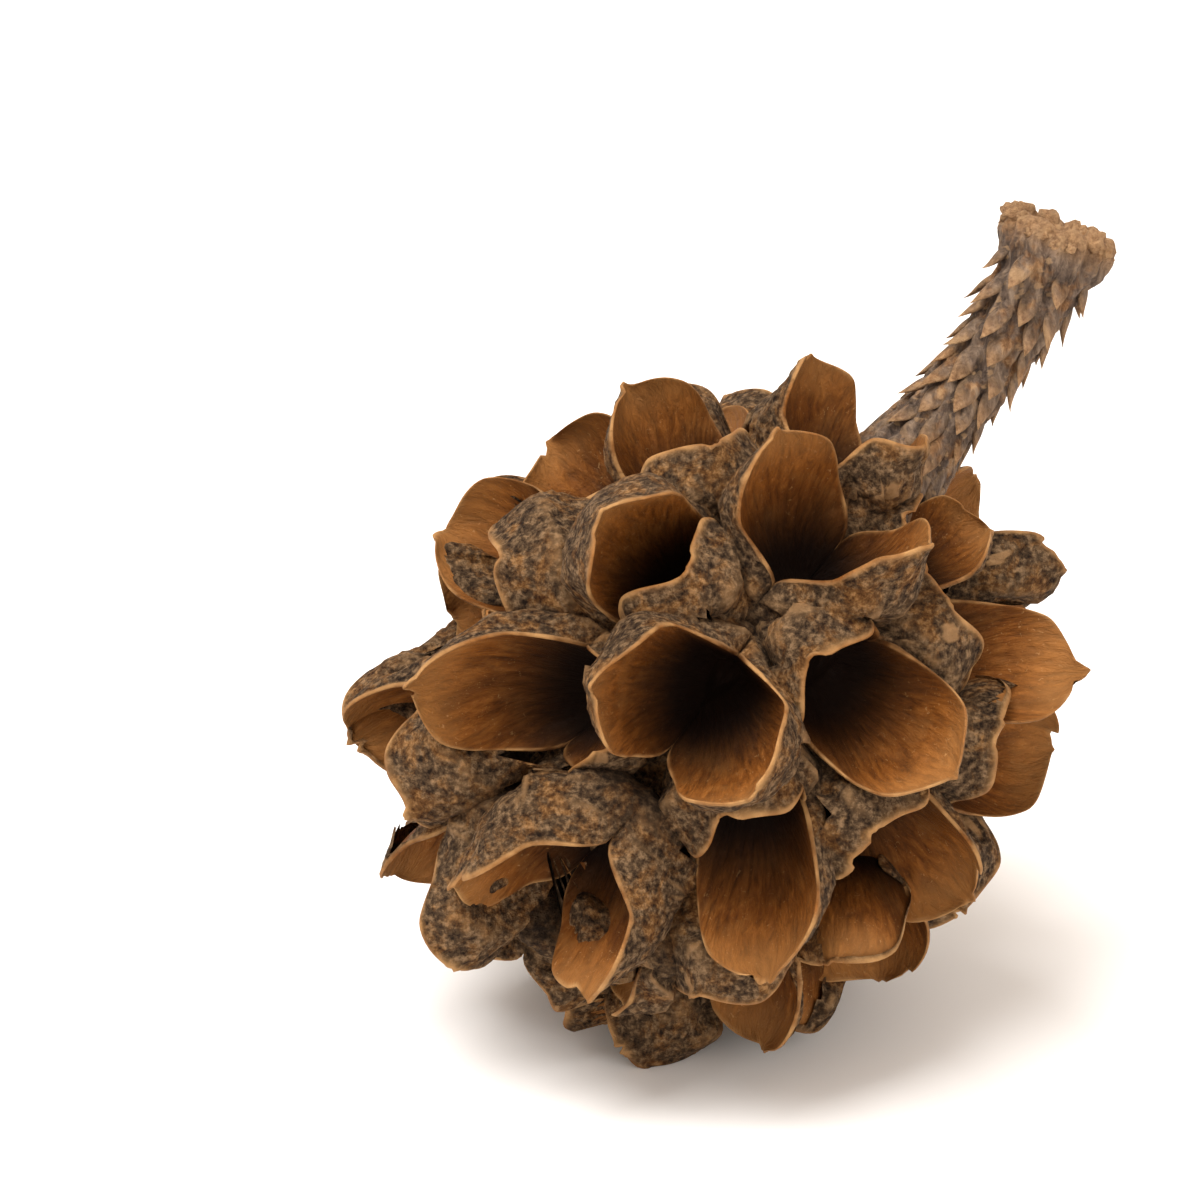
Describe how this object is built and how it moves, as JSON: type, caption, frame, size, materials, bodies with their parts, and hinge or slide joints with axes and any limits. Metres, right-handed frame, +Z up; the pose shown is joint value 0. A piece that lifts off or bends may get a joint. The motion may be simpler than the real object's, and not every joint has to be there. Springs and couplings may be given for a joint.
{
  "type": "casuarina cone",
  "caption": "Dry woody casuarina seed cone with gaping two-valved fruits in whorls round an egg-shaped head, on a short toothed stalk with a torn end.",
  "frame": {"origin": "centre of the bounding box's base, on the ground under the head", "axes": "+Z up, along the longest extent, from the ground to the torn end of the stalk. -Y is the side that the cone is seen from, and the stalk rises towards +X."},
  "size_m": [0.022, 0.0196, 0.0231],
  "materials": {
    "cone_wood": "dry, matte, grey-brown outside and orange-brown in the valves",
    "stalk_bark": "dry, rough, matte"
  },
  "bodies": {
    "root": {"cone_head": "cone_wood", "stalk": "stalk_bark"}
  },
  "joints": []
}
